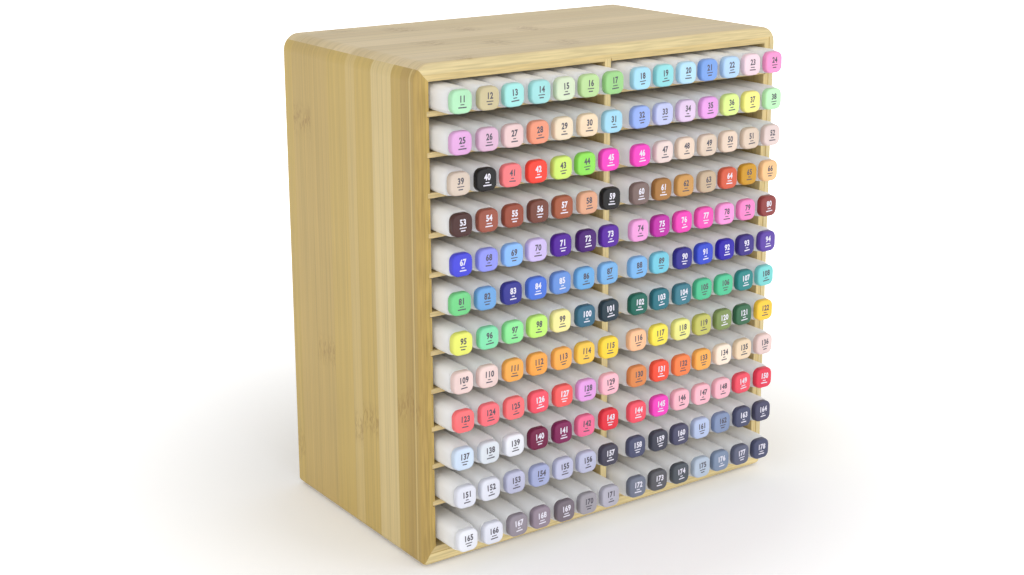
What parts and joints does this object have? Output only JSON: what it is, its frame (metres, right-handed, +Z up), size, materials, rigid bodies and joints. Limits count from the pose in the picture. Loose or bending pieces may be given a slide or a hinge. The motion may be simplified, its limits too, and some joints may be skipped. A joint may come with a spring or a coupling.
{
  "type": "revolving marker organizer",
  "caption": "Bamboo desk cabinet on a thin ball-bearing turntable, with shallow shelves either side of a centre divider that hold sets of square dual-tip markers.",
  "frame": {"origin": "centre of the face that the anti-slip pad rests on, which is on the cabinet's spin axis", "axes": "+Z up along the spin axis, -Y out of the open front of the cabinet, +X to the right of someone facing the front"},
  "size_m": [0.272, 0.1795, 0.3012],
  "materials": {
    "bamboo_board": "satin",
    "bamboo_top": "satin",
    "bamboo_liner": "satin",
    "bamboo_shelf": "satin",
    "bamboo_back": "satin",
    "brad_steel": "satin",
    "pad_rubber": "matte",
    "plate_steel": "satin",
    "rivet_steel": "satin",
    "ball_steel": "polished",
    "screw_steel": "satin",
    "nylon": "satin",
    "marker_barrel": "satin",
    "marker_plug": "satin",
    "marker_print": "satin"
  },
  "bodies": {
    "turntable_base": {"anti_slip_pad": "pad_rubber", "turntable_lower_plate": "plate_steel", "centre_rivet": "rivet_steel", "rivet_washer": "nylon"},
    "ball_ring": {"ball_cage": "nylon", "bearing_balls": "ball_steel"},
    "cabinet": {"bottom_board": "bamboo_board", "top_board": "bamboo_top", "left_side_board": "bamboo_board", "right_side_board": "bamboo_board", "left_liner": "bamboo_liner", "right_liner": "bamboo_liner", "top_liner": "bamboo_liner", "bottom_liner": "bamboo_liner", "back_panel": "bamboo_back", "back_panel_brads": "brad_steel", "centre_divider": "bamboo_shelf", "turntable_upper_plate": "plate_steel", "plate_screws": "screw_steel", "shelf_01": "bamboo_shelf", "shelf_02": "bamboo_shelf", "shelf_03": "bamboo_shelf", "shelf_04": "bamboo_shelf", "shelf_05": "bamboo_shelf", "shelf_06": "bamboo_shelf", "shelf_07": "bamboo_shelf", "shelf_08": "bamboo_shelf", "shelf_09": "bamboo_shelf", "shelf_10": "bamboo_shelf", "shelf_11": "bamboo_shelf", "floor_panel_left": "bamboo_shelf", "floor_panel_right": "bamboo_shelf"},
    "marker_set_01_left": {"marker_set_01_left": "marker_barrel"},
    "marker_set_01_right": {"marker_set_01_right": "marker_barrel"},
    "marker_set_02_left": {"marker_set_02_left": "marker_barrel"},
    "marker_set_02_right": {"marker_set_02_right": "marker_barrel"},
    "marker_set_03_left": {"marker_set_03_left": "marker_barrel"},
    "marker_set_03_right": {"marker_set_03_right": "marker_barrel"},
    "marker_set_04_left": {"marker_set_04_left": "marker_barrel"},
    "marker_set_04_right": {"marker_set_04_right": "marker_barrel"},
    "marker_set_05_left": {"marker_set_05_left": "marker_barrel"},
    "marker_set_05_right": {"marker_set_05_right": "marker_barrel"},
    "marker_set_06_left": {"marker_set_06_left": "marker_barrel"},
    "marker_set_06_right": {"marker_set_06_right": "marker_barrel"},
    "marker_set_07_left": {"marker_set_07_left": "marker_barrel"},
    "marker_set_07_right": {"marker_set_07_right": "marker_barrel"},
    "marker_set_08_left": {"marker_set_08_left": "marker_barrel"},
    "marker_set_08_right": {"marker_set_08_right": "marker_barrel"},
    "marker_set_09_left": {"marker_set_09_left": "marker_barrel"},
    "marker_set_09_right": {"marker_set_09_right": "marker_barrel"},
    "marker_set_10_left": {"marker_set_10_left": "marker_barrel"},
    "marker_set_10_right": {"marker_set_10_right": "marker_barrel"},
    "marker_set_11_left": {"marker_set_11_left": "marker_barrel"},
    "marker_set_11_right": {"marker_set_11_right": "marker_barrel"},
    "marker_set_12_left": {"marker_set_12_left": "marker_barrel"},
    "marker_set_12_right": {"marker_set_12_right": "marker_barrel"}
  },
  "joints": [
    {"name": "cabinet_spin", "type": "hinge", "parent": "turntable_base", "child": "cabinet", "pos_m": [0, 0, 0.0033], "axis": [0, 0, 1], "continuous": true},
    {"name": "ball_ring_spin", "type": "hinge", "parent": "turntable_base", "child": "ball_ring", "pos_m": [0, 0, 0.0033], "axis": [0, 0, 1], "continuous": true},
    {"name": "marker_set_01_left_slide", "type": "slide", "parent": "cabinet", "child": "marker_set_01_left", "axis": [0, -1, 0], "range_m": [-0.0167, 0.1295]},
    {"name": "marker_set_01_right_slide", "type": "slide", "parent": "cabinet", "child": "marker_set_01_right", "axis": [0, -1, 0], "range_m": [-0.0147, 0.1315]},
    {"name": "marker_set_02_left_slide", "type": "slide", "parent": "cabinet", "child": "marker_set_02_left", "axis": [0, -1, 0], "range_m": [-0.0157, 0.1305]},
    {"name": "marker_set_02_right_slide", "type": "slide", "parent": "cabinet", "child": "marker_set_02_right", "axis": [0, -1, 0], "range_m": [-0.0152, 0.131]},
    {"name": "marker_set_03_left_slide", "type": "slide", "parent": "cabinet", "child": "marker_set_03_left", "axis": [0, -1, 0], "range_m": [-0.0142, 0.132]},
    {"name": "marker_set_03_right_slide", "type": "slide", "parent": "cabinet", "child": "marker_set_03_right", "axis": [0, -1, 0], "range_m": [-0.0152, 0.131]},
    {"name": "marker_set_04_left_slide", "type": "slide", "parent": "cabinet", "child": "marker_set_04_left", "axis": [0, -1, 0], "range_m": [-0.0157, 0.1305]},
    {"name": "marker_set_04_right_slide", "type": "slide", "parent": "cabinet", "child": "marker_set_04_right", "axis": [0, -1, 0], "range_m": [-0.0152, 0.131]},
    {"name": "marker_set_05_left_slide", "type": "slide", "parent": "cabinet", "child": "marker_set_05_left", "axis": [0, -1, 0], "range_m": [-0.0147, 0.1315]},
    {"name": "marker_set_05_right_slide", "type": "slide", "parent": "cabinet", "child": "marker_set_05_right", "axis": [0, -1, 0], "range_m": [-0.0142, 0.132]},
    {"name": "marker_set_06_left_slide", "type": "slide", "parent": "cabinet", "child": "marker_set_06_left", "axis": [0, -1, 0], "range_m": [-0.0137, 0.1325]},
    {"name": "marker_set_06_right_slide", "type": "slide", "parent": "cabinet", "child": "marker_set_06_right", "axis": [0, -1, 0], "range_m": [-0.0147, 0.1315]},
    {"name": "marker_set_07_left_slide", "type": "slide", "parent": "cabinet", "child": "marker_set_07_left", "axis": [0, -1, 0], "range_m": [-0.0147, 0.1315]},
    {"name": "marker_set_07_right_slide", "type": "slide", "parent": "cabinet", "child": "marker_set_07_right", "axis": [0, -1, 0], "range_m": [-0.0147, 0.1315]},
    {"name": "marker_set_08_left_slide", "type": "slide", "parent": "cabinet", "child": "marker_set_08_left", "axis": [0, -1, 0], "range_m": [-0.0152, 0.131]},
    {"name": "marker_set_08_right_slide", "type": "slide", "parent": "cabinet", "child": "marker_set_08_right", "axis": [0, -1, 0], "range_m": [-0.0147, 0.1315]},
    {"name": "marker_set_09_left_slide", "type": "slide", "parent": "cabinet", "child": "marker_set_09_left", "axis": [0, -1, 0], "range_m": [-0.0162, 0.13]},
    {"name": "marker_set_09_right_slide", "type": "slide", "parent": "cabinet", "child": "marker_set_09_right", "axis": [0, -1, 0], "range_m": [-0.0157, 0.1305]},
    {"name": "marker_set_10_left_slide", "type": "slide", "parent": "cabinet", "child": "marker_set_10_left", "axis": [0, -1, 0], "range_m": [-0.0157, 0.1305]},
    {"name": "marker_set_10_right_slide", "type": "slide", "parent": "cabinet", "child": "marker_set_10_right", "axis": [0, -1, 0], "range_m": [-0.0157, 0.1305]},
    {"name": "marker_set_11_left_slide", "type": "slide", "parent": "cabinet", "child": "marker_set_11_left", "axis": [0, -1, 0], "range_m": [-0.0167, 0.1295]},
    {"name": "marker_set_11_right_slide", "type": "slide", "parent": "cabinet", "child": "marker_set_11_right", "axis": [0, -1, 0], "range_m": [-0.0162, 0.13]},
    {"name": "marker_set_12_left_slide", "type": "slide", "parent": "cabinet", "child": "marker_set_12_left", "axis": [0, -1, 0], "range_m": [-0.0187, 0.1275]},
    {"name": "marker_set_12_right_slide", "type": "slide", "parent": "cabinet", "child": "marker_set_12_right", "axis": [0, -1, 0], "range_m": [-0.0167, 0.1295]}
  ],
  "couplings": [
    {"joint": "ball_ring_spin", "follows": "cabinet_spin", "ratio": 0.5}
  ]
}
